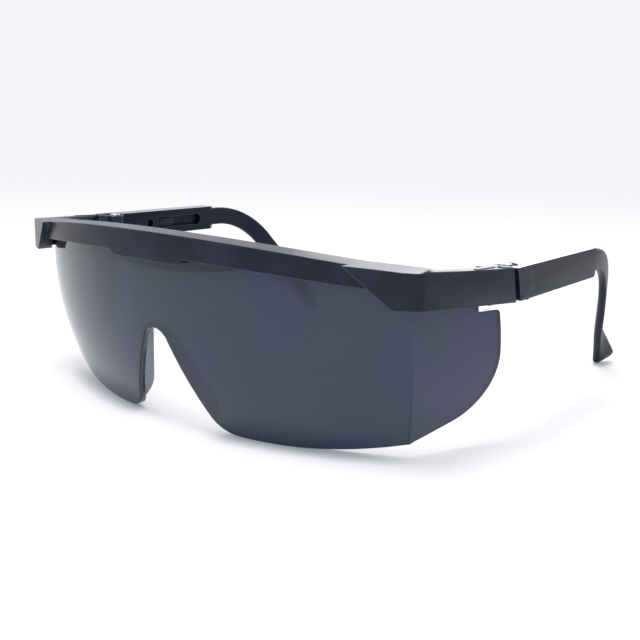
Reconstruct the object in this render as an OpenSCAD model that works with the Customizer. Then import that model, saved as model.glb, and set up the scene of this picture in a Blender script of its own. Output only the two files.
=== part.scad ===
// Welding glasses: a one-piece wrap-round smoke lens held by a black brow frame, with two
// folding temples whose ear arms slide in and out of square sleeves.
// Millimetres. +X is the wearer's left, -Y the front and +Z up. The glasses stand on the
// lens's lower edge and the tips of both ear arms.

/* [Lens front] */
// Horizontal radius of the lens front at its foremost point
face_r = 120; // [110:1:135]
// Radius of the lens front seen from the side
profile_r = 90; // [80:1:110]
// Height of the foremost point of the lens
apex_z = 40; // [38:0.5:42]
// Wall thickness of the lens
lens_t = 1.8; // [1.6:0.1:2.2]
// Radius of the lower edge of each eye lobe
lobe_r = 125; // [100:1:160]
// Distance of each lobe's lowest point from the middle
lobe_x = 30; // [27:0.5:33]

/* [Nose notch] */
// Half width of the nose notch at the lower edge
notch_w = 15.9; // [14:0.1:18]
// Height of the top of the notch
notch_top = 27.8; // [24:0.1:28]
// Lean of the notch's sides from upright, in degrees
notch_lean = 25; // [22:0.5:26]
// Rounding between the notch and the lower edge
notch_foot_r = 8; // [5:0.5:10]
// Wall thickness of the flange round the notch
flange_t = 1.5; // [1.2:0.1:2]
// How far back the flange reaches at its deepest point
flange_back = 12.6; // [11:0.1:13.5]
// How far back the flange reaches at its lower tip
flange_tip = 7.4; // [6:0.1:9]
// Height of that tip
flange_foot = 1.1; // [1:0.1:2]
// Height where the flange is deepest
flange_belly = 6.8; // [6:0.1:9]

/* [Side shields] */
// Half width of the lens at the crease where the side shield starts
crease_x = 65.4; // [64:0.1:66]
// Outward slope of the shields, in degrees
flare = 16.5; // [14:0.5:16.5]
// Radius of the shield seen along its length
shield_r = 75; // [65:1:90]
// Height of the widest point of the shield
shield_z = 30; // [27:0.5:32]
// Distance of the shield's rear edge behind the lens apex
shield_back = 51; // [47:0.5:51]
// Height of the lower rear corner before it is rounded
shield_foot = 12; // [10:0.1:14]
// Rounding of that corner
shield_corner_r = 16; // [12:0.5:17]
// Height of the shield's free top edge
shield_top = 36.4; // [35:0.1:37]
// Height of the shield's top edge where the wing's channel holds it
shield_held = 42.5; // [42:0.1:42.8]
// Where the free edge starts, behind the lens apex
shield_step = 40.5; // [38:0.5:41]
// How far the rear edge leans forward at its top
shield_lean = 3; // [2:0.1:4]

/* [Brow bar] */
// Top of the brow bar at the middle
brow_top = 53; // [52:0.1:54]
// Radius of the arched top edge
arch_r = 425; // [400:5:520]
// Height of the bar's front face
brow_h = 5.7; // [5.2:0.1:6.2]
// How far the bar's face stands in front of the lens
brow_out = 3.2; // [2.8:0.1:3.4]
// How far the bar's rear wall reaches behind the lens front
brow_in = 3.6; // [3.4:0.1:4.2]
// Radius of the bar's arched lower edge
brow_edge_r = 530; // [440:10:600]
// Wall thickness of the bar
wall = 1.8; // [1.5:0.1:2]
// Half width of the drop in the middle of the lower edge
tab_w = 10.9; // [8:0.1:13]
// Length of its slanted ends
tab_slope = 2.4; // [1.5:0.1:4]
// Depth of that drop
tab_h = 1.5; // [1:0.1:2]
// Depth of the hump in the middle of the rear wall
hump_h = 3.6; // [2.5:0.1:4]
// Half width of that hump
hump_w = 32; // [24:1:36]
// Distance from the middle of the ribs that hold the lens, two on each side
rib_x = [40, 56];
// Width of each rib
rib_w = 4; // [3:0.5:5]

/* [Corners and wings] */
// Where the raised corner starts at the top edge, from the middle
facet_x = 54; // [52:0.5:56]
// Half width of the frame at the corners
corner_x = 70.2; // [69.6:0.1:71]
// Where the corner is, behind the lens apex
corner_y = 15.6; // [15:0.1:16]
// Rounding of the corner, seen from above
corner_r = 2.5; // [1.5:0.1:4]
// Outward slope of the wings, in degrees
wing_flare = 13; // [12:0.5:14]
// Turn of the raised corner's face, in degrees
facet_turn = 27.5; // [26:0.5:29]
// Half width where the raised corner reaches the wing's lower edge
facet_foot_x = 64.4; // [63.5:0.1:65]
// Lower and upper edge of the wings
wing_z = [39.2, 47.8];
// Where the wing ends, behind the lens apex
wing_end = 47.4; // [47:0.1:48]
// Thickness of the wing's upper part
wing_t = 4.2; // [3.8:0.1:4.6]
// Where the corner's full thickness ends, behind the lens apex
corner_back = 25; // [22:0.5:28]
// Depth of the groove in the corner's underside
groove_h = 1.4; // [1:0.1:2]
// Thickness of the hinge block at the wing's rear end
block_t = 6; // [5.6:0.1:6.4]
// Length of the ridge on the wing's top
ridge_l = 9; // [7:0.5:10]
// Diameter of the round boss on the hinge block
boss_d = 3.2; // [2.6:0.1:3.6]
// Height of the ridge and the boss
mark_h = 0.4; // [0.3:0.1:0.6]
// Length of the stop behind the shield's step
stop_l = 4; // [3:0.1:4.4]
// How far the stop reaches below the wing
stop_h = 0.8; // [0.5:0.1:1]

/* [Hinges] */
// Diameter of the hinge pins
pin_d = 2; // [1.8:0.1:2.2]
// Diameter of the pin's head
pin_head_d = 3.2; // [3:0.1:3.4]
// Thickness of the pin's head
pin_head_h = 0.6; // [0.5:0.1:0.8]
// How far the hinge pins stand outside the corners
hinge_out = 3; // [2.8:0.1:3.1]
// Distance of the hinge pins behind the wing's end
hinge_gap = 2.8; // [2.8:0.1:3]
// Radius of the frame's hinge lugs
lug_r = 2.8; // [2.6:0.1:2.9]
// Thickness of each hinge lug
lug_t = 2.6; // [2.2:0.1:2.8]
// Radius of the temple's knuckle
knuckle_r = 2.5; // [2.3:0.1:2.6]

/* [Temple sleeves] */
// Length of the sleeve
sleeve_l = 51.3; // [47:0.1:54]
// Thickness of the sleeve
sleeve_t = 5.8; // [5.6:0.1:6]
// Lower and upper edge of the sleeves
sleeve_z = [39, 47.5];
// Thickness of the sleeve's inner wall
sleeve_wall = 1.8; // [1.5:0.1:2]
// Length of the window in the inner wall
window_l = 19; // [16:0.5:20]
// Height of the window
window_h = 3.6; // [3:0.1:4]
// Distance of the window from the sleeve's rear end
window_back = 10.6; // [9:0.1:13]
// Diameter of the window's round end
window_end_d = 4.4; // [4:0.1:4.8]
// Diameter of the release hole in front of the window
release_d = 3; // [2.4:0.1:3.4]
// Radius of the raised disc over the hinge
disc_r = 7.6; // [6:0.1:9]
// Height of that disc
disc_h = 0.2; // [0.2:0.05:0.4]
// Diameter of the pip under the sleeve
pip_d = 1.4; // [1:0.1:1.8]

/* [Ear arms] */
// Height of the arm's blade
arm_h = 6.4; // [6:0.1:6.6]
// Thickness of the blade
arm_t = 2.3; // [2:0.1:2.4]
// Length of the blade inside the sleeve
arm_in = 41; // [37:0.5:42]
// Length of the detent land that runs in the window
land_l = 7; // [6:0.1:8]
// How far the arm is pushed in short of the window's front end
land_rest = 0.5; // [0.3:0.1:1]
// Where the bend starts, behind the sleeve's end
bend_start = 4; // [3:0.5:8]
// Radius of the bend, at the middle of the blade
bend_r = 30; // [26:1:32]
// Angle of the bend
bend_a = 50; // [47:0.5:52]
// Radius of the arm's inward curve, seen from above
inward_r = 120; // [110:1:135]
// Length of the paddle at the tip
paddle_l = 14; // [12:0.5:15]
// How far the paddle's corner stands out from the middle of the leg
paddle_w = 8.5; // [6:0.5:9]
// How far that corner reaches beyond the leg's end
paddle_end = 3; // [1:0.5:4]
// Rounding of that corner
paddle_r = 1.8; // [1:0.1:2.2]
// Turn of the paddle outwards, in degrees
paddle_turn = 50; // [35:1:60]

/* [Fit] */
// Gap between the lens and the ribs that hold it
lens_gap = 0.1; // [0.05:0.05:0.2]
// Gap round the blade inside the sleeve
slide_gap = 0.15; // [0.1:0.05:0.2]
// Radial gap of the pin in the temple's knuckle
pin_gap = 0.05; // [0.03:0.01:0.08]
// Radial gap of the pin in the frame's lugs
lug_gap = 0.02; // [0.01:0.01:0.04]
// Gap between the knuckle and each lug, along the pin
lug_side_gap = 0.2; // [0.1:0.05:0.3]
// Gap between the lugs' round ends and the sleeve, and round the temple's knuckle
lug_end_gap = 0.35; // [0.3:0.05:0.5]
// Gap between the wing's end and the sleeve on the outside
sleeve_gap = 0.6; // [0.5:0.1:1]

/* [Hidden] */
$fn = 96;
tiny = 0.01;
big = 200;

// Hinge and temple positions
hinge_x = corner_x + hinge_out;
hinge_y = wing_end + hinge_gap;
sleeve_in_x = hinge_x - 0.6;
sleeve_out_x = sleeve_in_x + sleeve_t;
sleeve_front = wing_end + sleeve_gap;
sleeve_end = sleeve_front + sleeve_l;
mid_z = (sleeve_z[0] + sleeve_z[1]) / 2;
blade_x = sleeve_in_x + sleeve_wall + slide_gap + arm_t / 2;
bend_y = sleeve_end + bend_start;
window_y = sleeve_end - window_back - window_l;

// The ear arm seen from the side: where the bend ends and how long the leg is
leg_y = bend_y + bend_r * sin(bend_a);
leg_z = mid_z - bend_r * (1 - cos(bend_a));
toe_r = 1.2;
leg_l = (leg_z - (arm_h / 2 - toe_r) * cos(bend_a) - toe_r) / sin(bend_a) + toe_r;

// Lens front surface: radius about the upright axis at height z, and depth at x and z
function ring_r(z, g = 0) = face_r - profile_r + sqrt(pow(profile_r + g, 2) - pow(z - apex_z, 2));
function front_y(x, z, g = 0) = face_r - sqrt(pow(ring_r(z, g), 2) - x * x);
// How much narrower the shield is at height z than at its widest point
function shield_sag(z) = (shield_r - sqrt(shield_r * shield_r - pow(z - shield_z, 2))) / cos(flare);
crease_y = front_y(crease_x, shield_z);
// Half width of the crease at height z, found by stepping along the front surface
function crease_at(z, x = crease_x, n = 8) = n == 0 ? x
    : crease_at(z, crease_x - shield_sag(z) + (front_y(x, z) - crease_y) * tan(flare), n - 1);
// Height of the lower edge at x, and the crease's lower end
function lobe_edge(x) = lobe_r - sqrt(lobe_r * lobe_r - pow(x - lobe_x, 2));
crease_foot_z = lobe_edge(crease_at(lobe_edge(crease_x)));
crease_foot_x = crease_at(crease_foot_z);
crease_foot_y = front_y(crease_foot_x, crease_foot_z);
// Height of the brow's arched top edge at x
function arch_z(x) = brow_top - arch_r + sqrt(arch_r * arch_r - x * x);

// Top of the wing's lens channel, its roof, and the room in front of the lens inside the bar
channel_z = shield_held + slide_gap;
channel_roof = 1.5;
lens_room = 1;
// How far the room under the arch reaches into the raised corner
roof_in = 2;
// Thicker than the corner is anywhere, before the inside of the face is cut away
corner_t = 13;

// The leg's end, and the paddle as an outline in its own plane: along the leg, and across it
leg_end = [blade_x - inward_r + sqrt(pow(inward_r, 2) - pow(leg_y + leg_l * cos(bend_a) - sleeve_end, 2)),
           leg_y + leg_l * cos(bend_a), leg_z - leg_l * sin(bend_a)];
leg_lean = atan(tan(asin((leg_end[1] - sleeve_end) / inward_r)) * cos(bend_a));
paddle_outline = rounded([[-paddle_l, 0, 0], [paddle_end, paddle_w, paddle_r], [-toe_r, 0, 0]], 16);
// Depth of a point of the paddle, and of its thickness, behind the leg's end
function paddle_y(p) = p[0] * cos(bend_a) * cos(leg_lean)
    + p[1] * (cos(bend_a) * sin(paddle_turn) * sin(leg_lean) + sin(bend_a) * cos(paddle_turn));
paddle_t_y = abs(cos(bend_a) * cos(paddle_turn) * sin(leg_lean) - sin(bend_a) * sin(paddle_turn)) * arm_t / 2;

// Depth of the part, for the origin at the middle of its footprint
part_front = front_y(0, brow_top - brow_h - tab_h, brow_out);
part_back = leg_end[1] + max([for (p = paddle_outline) paddle_y(p)]) + paddle_t_y;

// Outline points with each corner rounded: p = [x, y, radius] for every corner, in order
function rounded(p, n = 8) = [for (i = [0 : len(p) - 1]) let (
        b = [p[i][0], p[i][1]],
        a = [for (k = [0, 1]) p[(i + len(p) - 1) % len(p)][k]] - b,
        c = [for (k = [0, 1]) p[(i + 1) % len(p)][k]] - b,
        u = a / norm(a), v = c / norm(c),
        half = acos(u * v) / 2, r = p[i][2],
        o = b + (u + v) / norm(u + v) * r / sin(half),
        s = b + u * r / tan(half) - o, e = b + v * r / tan(half) - o,
        turn = s[0] * e[1] - s[1] * e[0] > 0 ? 180 - 2 * half : 2 * half - 180)
    each r == 0 ? [b] : [for (k = [0 : n]) o + [s[0] * cos(turn * k / n) - s[1] * sin(turn * k / n),
                                                s[0] * sin(turn * k / n) + s[1] * cos(turn * k / n)]]];

// Puts the part's footprint round the origin
module seated() translate([0, -(part_front + part_back) / 2, 0]) children();
// A copy on the left and its mirror image on the right
module both_sides() { children(); mirror([1, 0, 0]) children(); }
// Extrudes an outline drawn in x and z from y0 to y1
module along_y(y0, y1) translate([0, y1, 0]) rotate([90, 0, 0]) linear_extrude(y1 - y0) children();
// Extrudes an outline drawn in y and z from x0 to x1
module along_x(x0, x1) translate([x0, 0, 0]) rotate([90, 0, 90]) linear_extrude(x1 - x0) children();

// The barrel whose surface is the lens front, grown by g
module barrel(g) translate([0, face_r, 0]) rotate_extrude($fn = 180) intersection() {
    translate([face_r - profile_r, apex_z]) circle(profile_r + g);
    translate([0, -big / 4]) square([big, big]);
}
// Everything inboard of the left shield's outside, which is a cylinder along the temple, grown by g
module side_body(g) translate([crease_x, crease_y, shield_z]) rotate([0, 0, -flare])
    rotate([90, 0, 0]) translate([0, 0, -big]) linear_extrude(2 * big) {
        translate([-shield_r, 0]) circle(shield_r + g);
        translate([-2 * big, -shield_r - g]) square([2 * big - shield_r, 2 * (shield_r + g)]);
    }
// The whole wrap-round face as one solid, grown by g
module face_body(g) intersection() {
    barrel(g);
    side_body(g);
    mirror([1, 0, 0]) side_body(g);
}
// The part of the front wall between two depths in front of the lens
module front_layer(outer, inner) difference() { barrel(outer); barrel(inner); }

// Nose notch seen from the front, with its outline moved outwards by g
module notch_2d(g = 0) {
    w = notch_w + g / cos(notch_lean);
    top = notch_top + g;
    r = (w * cos(notch_lean) - top * sin(notch_lean)) / (1 - sin(notch_lean));
    touch = [r * cos(notch_lean), top - r + r * sin(notch_lean)];
    polygon([[-w - tan(notch_lean), -1], [w + tan(notch_lean), -1], touch, [-touch[0], touch[1]]]);
    translate([0, top - r]) circle(r);
}
// Centre of the rounding where the notch runs into the left lobe
foot_z = notch_foot_r + 0.4;
foot_x = notch_w + notch_foot_r / cos(notch_lean) - foot_z * tan(notch_lean);
foot = [foot_x, lobe_r - sqrt(pow(lobe_r - notch_foot_r, 2) - pow(lobe_x - foot_x, 2))];

// Left half of the lens seen from the front
module lobe_2d() difference() {
    intersection() {
        translate([lobe_x, lobe_r]) circle(lobe_r, $fn = 180);
        translate([0, brow_top - arch_r]) circle(arch_r - wall - lens_gap, $fn = 360);
        translate([-tiny, -1]) square([big / 2, big / 2]);
    }
    translate([facet_x + roof_in - slide_gap, wing_z[1] - wall - lens_gap]) square([big, big]);
    notch_2d();
    difference() {
        translate([0, -1]) square([foot[0], 1 + foot[1] - notch_foot_r * sin(notch_lean)]);
        translate(foot) circle(notch_foot_r);
    }
}
// What is left of the shield seen from the side, and its top step
module shield_2d() polygon(rounded([
    [crease_foot_y - 40, crease_foot_z - 40 * shield_slope, 0],
    [shield_back, shield_foot, shield_corner_r],
    [shield_back - shield_lean, shield_top, 1.2],
    [shield_step, shield_top, 1],
    [shield_step, shield_held, 1],
    [corner_back, shield_held, 0.5],
    [corner_back, brow_top, 0],
    [crease_foot_y - 40, brow_top, 0]], 12));
shield_slope = (shield_foot - crease_foot_z) / (shield_back - crease_foot_y);

// Flange round the nose notch, seen from the side
module flange_2d() polygon(rounded([[-10, notch_top + 12, 0], [0.4, notch_top + 8, 0],
    [flange_back, flange_belly, 6], [flange_tip, flange_foot, 0.8], [-10, flange_foot, 0]]));

module lens() color("#3c4250") seated() {
    difference() {
        intersection() {
            difference() { face_body(0); face_body(-lens_t); }
            along_y(-5, big / 2) { lobe_2d(); mirror([1, 0]) lobe_2d(); }
        }
        both_sides() intersection() {
            along_x(0, big / 2) difference() {
                translate([-20, -20]) square([big, big / 2]);
                shield_2d();
            }
            translate([crease_foot_x, crease_foot_y, -1]) rotate([0, 0, -(90 - flare) / 2 - 10])
                translate([-big / 4, 0, 0]) cube([big, big, big]);
        }
    }
    intersection() {
        difference() { barrel(-lens_t / 2); barrel(-big / 8); }
        along_x(-big / 4, big / 4) flange_2d();
        along_y(-5, big / 4) difference() {
            notch_2d(flange_t);
            notch_2d();
            translate([-big / 2, flange_foot - big]) square([big, big]);
        }
    }
}

// The arched band seen from the front
module band_2d() difference() {
    translate([0, brow_top - arch_r]) circle(arch_r, $fn = 360);
    translate([0, brow_top - brow_h - brow_edge_r]) circle(brow_edge_r, $fn = 360);
    translate([-2 * big, -4 * big]) square([4 * big, 4 * big]);
}
// Everything under the arched top edge, lowered by down
module under_arch_2d(down = 0) intersection() {
    translate([0, brow_top - arch_r - down]) circle(arch_r, $fn = 360);
    translate([-big, 0]) square([2 * big, big]);
}
// The drop in the middle of the band's lower edge
module tab_2d() translate([0, brow_top - brow_h]) polygon([[-tab_w - tab_slope, 1], [-tab_w - tab_slope, -0.2],
    [-tab_w, -tab_h], [tab_w, -tab_h], [tab_w + tab_slope, -0.2], [tab_w + tab_slope, 1]]);

// Front wall of the bar seen from the front
module brow_front_2d() { band_2d(); tab_2d(); }
// Rear wall, with the smooth hump in the middle
module brow_rear_2d() {
    hump_r = (hump_w * hump_w + hump_h * hump_h) / (2 * hump_h);
    band_2d();
    intersection() {
        translate([0, brow_top - brow_h + hump_r - hump_h - 0.6]) circle(hump_r);
        translate([-hump_w, brow_top - brow_h - 2 * hump_h]) square([2 * hump_w, 2 * hump_h + 1]);
    }
}
// The bar from the front face to the back of its rear wall, solid
module brow_bar() intersection() {
    union() {
        intersection() { front_layer(brow_out, -lens_t / 2); along_y(-10, big / 2) brow_front_2d(); }
        intersection() { front_layer(-lens_t / 2, -brow_in); along_y(-10, big / 2) brow_rear_2d(); }
    }
    translate([-crease_x + 1, -20, 0]) cube([2 * crease_x - 2, big, big]);
}

// Left corner and wing seen from above, from the raised corner to the depth end; t is the
// thickness there and g moves the outer faces inwards
wing_dir = [sin(wing_flare), cos(wing_flare)];
wing_out = [cos(wing_flare), -sin(wing_flare)];
facet_dir = [cos(facet_turn), sin(facet_turn)];
module wing_2d(g, end, t) {
    a = [corner_x, corner_y] + g * ([-facet_dir[1], facet_dir[0]]
        - facet_dir * tan((90 - wing_flare - facet_turn) / 2));
    b = a + (end - a[1]) / wing_dir[1] * wing_dir;
    i = b - wing_out * (t - g);
    j = i - (end - corner_back) / wing_dir[1] * wing_dir;
    front = a - (a[0] - facet_x + 6) / facet_dir[0] * facet_dir;
    polygon(rounded([[front[0], front[1], 0], [a[0], a[1], max(corner_r - g, 0.5)],
        [b[0], b[1], g == 0 ? 0.8 : 0], [i[0], i[1], 0], [j[0], j[1], 0], [front[0], j[1], 0]]));
}
// Corner, wing, hinge block and shield channel as one solid, cut along the slanted edge
module wing_body() intersection() {
    translate([0, 0, wing_z[0]]) {
        linear_extrude(brow_top - wing_z[0]) {
            wing_2d(0, corner_back + tiny, corner_t);
            wing_2d(0, wing_end, wing_t);
            difference() {
                wing_2d(0, wing_end, block_t);
                square([big, shield_step + 0.6]);
            }
        }
        linear_extrude(channel_z + channel_roof - wing_z[0]) wing_2d(0, shield_step + 1, corner_t);
    }
    along_y(-20, big) intersection() {
        polygon([[facet_x, arch_z(facet_x)], [facet_foot_x, wing_z[0]], [big / 2, wing_z[0]],
            [big / 2, brow_top], [facet_x, brow_top]]);
        union() {
            under_arch_2d();
            translate([0, wing_z[0]]) square([big / 2, wing_z[1] - wing_z[0]]);
        }
    }
    // The corner's top falls to the wing's top
    along_x(0, big) polygon([[-20, 0], [big, 0], [big, wing_z[1]], [corner_back, wing_z[1]],
        [corner_y + 2, arch_z(facet_x)], [corner_y + 2, brow_top], [-20, brow_top]]);
}
// Hollow that the lens's top edge and the shields' top edges stand in
module lens_channel() difference() {
    union() {
        intersection() {
            barrel(lens_room);
            along_y(-20, corner_back + 0.4) under_arch_2d(wall);
            translate([-big, -20, 0]) cube([2 * big, big, wing_z[1] - wall]);
            linear_extrude(big) union() {
                translate([-crease_x + 4, -20]) square([2 * crease_x - 8, 2 * corner_back]);
                both_sides() wing_2d(wall, corner_back + 1, 40);
            }
        }
        intersection() {
            barrel(lens_room);
            along_y(-20, corner_back) under_arch_2d(wall);
            translate([-facet_x - roof_in, -20, 0]) cube([2 * (facet_x + roof_in), big, big]);
        }
        both_sides() linear_extrude(channel_z) difference() {
            wing_2d(wall + 1, shield_step + 0.4, 30);
            square([big, corner_y + 6]);
        }
    }
    face_body(-lens_t - lens_gap);
}
// Ribs in front of the lens that hold it against the rear wall
module lens_ribs() intersection() {
    front_layer(lens_room + tiny, lens_gap);
    along_y(-10, big / 2) intersection() {
        brow_front_2d();
        union() {
            translate([-tab_w + 1, 0]) square([2 * tab_w - 2, big]);
            for (x = rib_x, side = [-1, 1]) translate([side * x - rib_w / 2, 0]) square([rib_w, big]);
        }
    }
}
// Groove in the raised corner's underside, between its face and the rim round the lens
module corner_groove() difference() {
    translate([0, 0, wing_z[0] - 1]) linear_extrude(groove_h + 1)
        wing_2d(wall, corner_back - wall, corner_t);
    barrel(lens_room + wall / 2);
    side_body(lens_room + wall / 2);
}
// Two lugs on the hinge block, seen from above
module lug_2d(r) {
    translate([hinge_x, hinge_y]) circle(r);
    translate([hinge_x - r, wing_end - 1]) square([2 * r, hinge_gap + 1]);
}
lug_z = [wing_z[0] + 0.2, wing_z[1] - lug_t - 0.2];
module hinge_lugs() for (z = lug_z) translate([0, 0, z]) linear_extrude(lug_t) lug_2d(lug_r);

module brow_frame() color("#2b303c") seated() difference() {
    union() {
        difference() {
            union() { brow_bar(); both_sides() wing_body(); }
            face_body(-brow_in);
            lens_channel();
            both_sides() {
                corner_groove();
                // Room for the temple's knuckle
                translate([hinge_x, hinge_y, lug_z[0] + lug_t])
                    cylinder(r = knuckle_r + lug_end_gap, h = lug_z[1] - lug_z[0] - lug_t);
            }
        }
        lens_ribs();
        both_sides() {
            hinge_lugs();
            // Ridge and boss on the wing's top, and the stop behind the shield's step
            translate([hinge_x - 0.2, wing_end - ridge_l - 4.4, wing_z[1] - tiny])
                cube([1, ridge_l, mark_h + tiny]);
            translate([hinge_x + 2, wing_end - boss_d / 2 - 0.3, wing_z[1] - tiny])
                cylinder(d = boss_d, h = mark_h + tiny);
            translate([hinge_x - 1.6, shield_step + 1.6, wing_z[0] - stop_h]) cube([2, stop_l, stop_h + tiny]);
        }
    }
    both_sides() {
        translate([hinge_x, hinge_y, 0]) cylinder(d = pin_d + 2 * lug_gap, h = big);
        translate([hinge_x, hinge_y, lug_z[1] + lug_t - pin_head_h]) cylinder(d = pin_head_d + 0.2, h = 5);
    }
}

module hinge_pin() color("#9a9ea6") seated() translate([hinge_x, hinge_y, 0]) {
    translate([0, 0, lug_z[0]]) cylinder(d = pin_d, h = lug_z[1] + lug_t - lug_z[0] - tiny);
    translate([0, 0, lug_z[1] + lug_t - pin_head_h]) cylinder(d = pin_head_d, h = pin_head_h);
}
module hinge_pin_left() hinge_pin();
module hinge_pin_right() mirror([1, 0, 0]) hinge_pin();

knuckle_z = [lug_z[0] + lug_t + lug_side_gap, lug_z[1] - lug_side_gap];
module temple_sleeve() color("#2b303c") seated() difference() {
    union() {
        difference() {
            intersection() {
                along_x(sleeve_in_x, sleeve_out_x) polygon(rounded([
                    [sleeve_front, sleeve_z[0], 0.4], [sleeve_end, sleeve_z[0], 1.2],
                    [sleeve_end, sleeve_z[1], 1.6], [sleeve_front, sleeve_z[1], 0.4]]));
                translate([0, 0, sleeve_z[0] - 1]) linear_extrude(big) polygon([
                    [sleeve_in_x, sleeve_front], [sleeve_out_x, sleeve_front], [sleeve_out_x, sleeve_end],
                    [sleeve_in_x + 2, sleeve_end], [sleeve_in_x, sleeve_end - 3]]);
            }
            // Room for the frame's lugs at the front end
            translate([0, 0, sleeve_z[0] - 1]) linear_extrude(big) {
                translate([hinge_x, hinge_y]) circle(lug_r + lug_end_gap);
                translate([sleeve_in_x - 1, sleeve_front - 1])
                    square([hinge_x + lug_r + lug_end_gap - sleeve_in_x + 1, hinge_y - sleeve_front + 1]);
            }
        }
        translate([0, 0, knuckle_z[0]]) linear_extrude(knuckle_z[1] - knuckle_z[0]) {
            translate([hinge_x, hinge_y]) circle(knuckle_r);
            polygon([[hinge_x, hinge_y - 1.6], [sleeve_out_x - 1, hinge_y - 1.6],
                [sleeve_out_x - 1, hinge_y + lug_r + 2], [sleeve_in_x, hinge_y + lug_r + 2],
                [sleeve_in_x, hinge_y + knuckle_r]]);
        }
        // Raised disc over the hinge on the outside
        intersection() {
            translate([sleeve_out_x - tiny, sleeve_front, mid_z]) rotate([0, 90, 0])
                cylinder(r = disc_r, h = disc_h + tiny);
            translate([0, sleeve_front, sleeve_z[0] + 0.6]) cube([big, big, sleeve_z[1] - sleeve_z[0] - 1.2]);
        }
        translate([sleeve_out_x - 1.2, sleeve_front + 7, sleeve_z[0] - 0.5]) cylinder(d = pip_d, h = 1);
    }
    // Bore for the blade, the window, its round end and the release hole
    translate([blade_x - arm_t / 2 - slide_gap, sleeve_end - arm_in - 2, mid_z - arm_h / 2 - slide_gap])
        cube([arm_t + 2 * slide_gap, arm_in + 5, arm_h + 2 * slide_gap]);
    along_x(sleeve_in_x - 1, blade_x) {
        polygon(rounded([[window_y, mid_z - window_h / 2, 1], [window_y + window_l, mid_z - window_h / 2, 0],
            [window_y + window_l, mid_z + window_h / 2, 0], [window_y, mid_z + window_h / 2, 1]]));
        translate([window_y + window_l, mid_z]) circle(d = window_end_d);
        translate([window_y - 4, mid_z]) circle(d = release_d);
    }
    translate([hinge_x, hinge_y, 0]) cylinder(d = pin_d + 2 * pin_gap, h = big);
}
module temple_sleeve_left() temple_sleeve();
module temple_sleeve_right() mirror([1, 0, 0]) temple_sleeve();

// The blade seen from the side: bar, bend and leg
module arm_2d() {
    translate([sleeve_end - arm_in, mid_z - arm_h / 2]) square([arm_in + bend_start, arm_h]);
    intersection() {
        translate([bend_y, mid_z - bend_r]) difference() {
            circle(bend_r + arm_h / 2);
            circle(bend_r - arm_h / 2);
        }
        translate([bend_y, mid_z - bend_r]) polygon([[0, 0], [0, big], [big * tan(bend_a), big]]);
    }
    translate([leg_y, leg_z]) rotate(-bend_a) polygon(rounded([[0, -arm_h / 2, 0],
        [leg_l, -arm_h / 2, toe_r], [leg_l, arm_h / 2, toe_r], [0, arm_h / 2, 0]], 16));
}
// The blade seen from above: straight in the sleeve, then curving inwards
module arm_plan_2d() {
    translate([blade_x - arm_t / 2, sleeve_end - arm_in]) square([arm_t, arm_in]);
    intersection() {
        translate([blade_x - inward_r, sleeve_end]) difference() {
            circle(inward_r + arm_t / 2, $fn = 240);
            circle(inward_r - arm_t / 2, $fn = 240);
        }
        translate([0, sleeve_end]) square([big, big]);
    }
}
// Paddle at the tip: a flat fin that leaves the leg towards the back and the outside
module paddle() translate(leg_end) rotate([-bend_a, 0, 0]) rotate([0, 0, leg_lean])
    rotate([0, paddle_turn, 0]) along_x(-arm_t / 2, arm_t / 2) polygon(paddle_outline);

module ear_arm() color("#2b303c") seated() {
    intersection() {
        along_x(0, big) arm_2d();
        translate([0, 0, -1]) linear_extrude(big) arm_plan_2d();
    }
    paddle();
    // Detent land in the sleeve's window
    along_x(sleeve_in_x + 0.2, blade_x) polygon(rounded([
        [window_y + land_rest, mid_z - window_h / 2 + 0.3, 0.8],
        [window_y + land_rest + land_l, mid_z - window_h / 2 + 0.3, 0.8],
        [window_y + land_rest + land_l, mid_z + window_h / 2 - 0.3, 0.8],
        [window_y + land_rest, mid_z + window_h / 2 - 0.3, 0.8]]));
}
module ear_arm_left() ear_arm();
module ear_arm_right() mirror([1, 0, 0]) ear_arm();

brow_frame();
lens();
temple_sleeve_left();
temple_sleeve_right();
ear_arm_left();
ear_arm_right();
hinge_pin_left();
hinge_pin_right();
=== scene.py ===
from math import acos, asin, cos, pi, radians, sin, sqrt, tan

import bmesh
import bpy
from mathutils import Matrix, Quaternion, Vector


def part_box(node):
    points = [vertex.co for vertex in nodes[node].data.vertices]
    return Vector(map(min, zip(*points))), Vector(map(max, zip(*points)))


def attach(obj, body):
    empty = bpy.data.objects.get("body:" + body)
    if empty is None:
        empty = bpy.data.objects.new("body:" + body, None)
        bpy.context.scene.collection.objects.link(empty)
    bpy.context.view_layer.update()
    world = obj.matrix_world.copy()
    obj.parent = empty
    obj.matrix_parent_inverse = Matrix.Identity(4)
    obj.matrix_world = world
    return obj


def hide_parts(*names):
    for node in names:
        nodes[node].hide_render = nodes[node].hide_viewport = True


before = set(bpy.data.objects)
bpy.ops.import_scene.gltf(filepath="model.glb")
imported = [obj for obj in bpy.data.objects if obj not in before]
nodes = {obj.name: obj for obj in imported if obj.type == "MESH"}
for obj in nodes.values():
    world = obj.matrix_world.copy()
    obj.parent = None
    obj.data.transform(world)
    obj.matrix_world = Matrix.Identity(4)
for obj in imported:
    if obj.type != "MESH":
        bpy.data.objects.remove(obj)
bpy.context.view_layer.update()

# Lens: one shell of smoke polycarbonate, injection moulded and polished, with the front, the
# nose arch and both side shields in one piece. It is pressed up into the brow frame, and the
# shields' top edges stand in channels under the wings.
MM = 0.001
APEX_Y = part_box("lens")[0].y / MM
FACE_R, PROFILE_R, APEX_Z = 120.0, 90.0, 40.0
LENS_T = 1.8
LOBE_R, LOBE_X = 125.0, 30.0
NOTCH_W, NOTCH_TOP, NOTCH_LEAN, NOTCH_FOOT_R = 15.9, 27.8, radians(25), 8.0
FOOT_RISE = 0.4
CREASE_X, FLARE, SHIELD_R, SHIELD_Z = 65.4, radians(16.5), 75.0, 30.0
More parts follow.
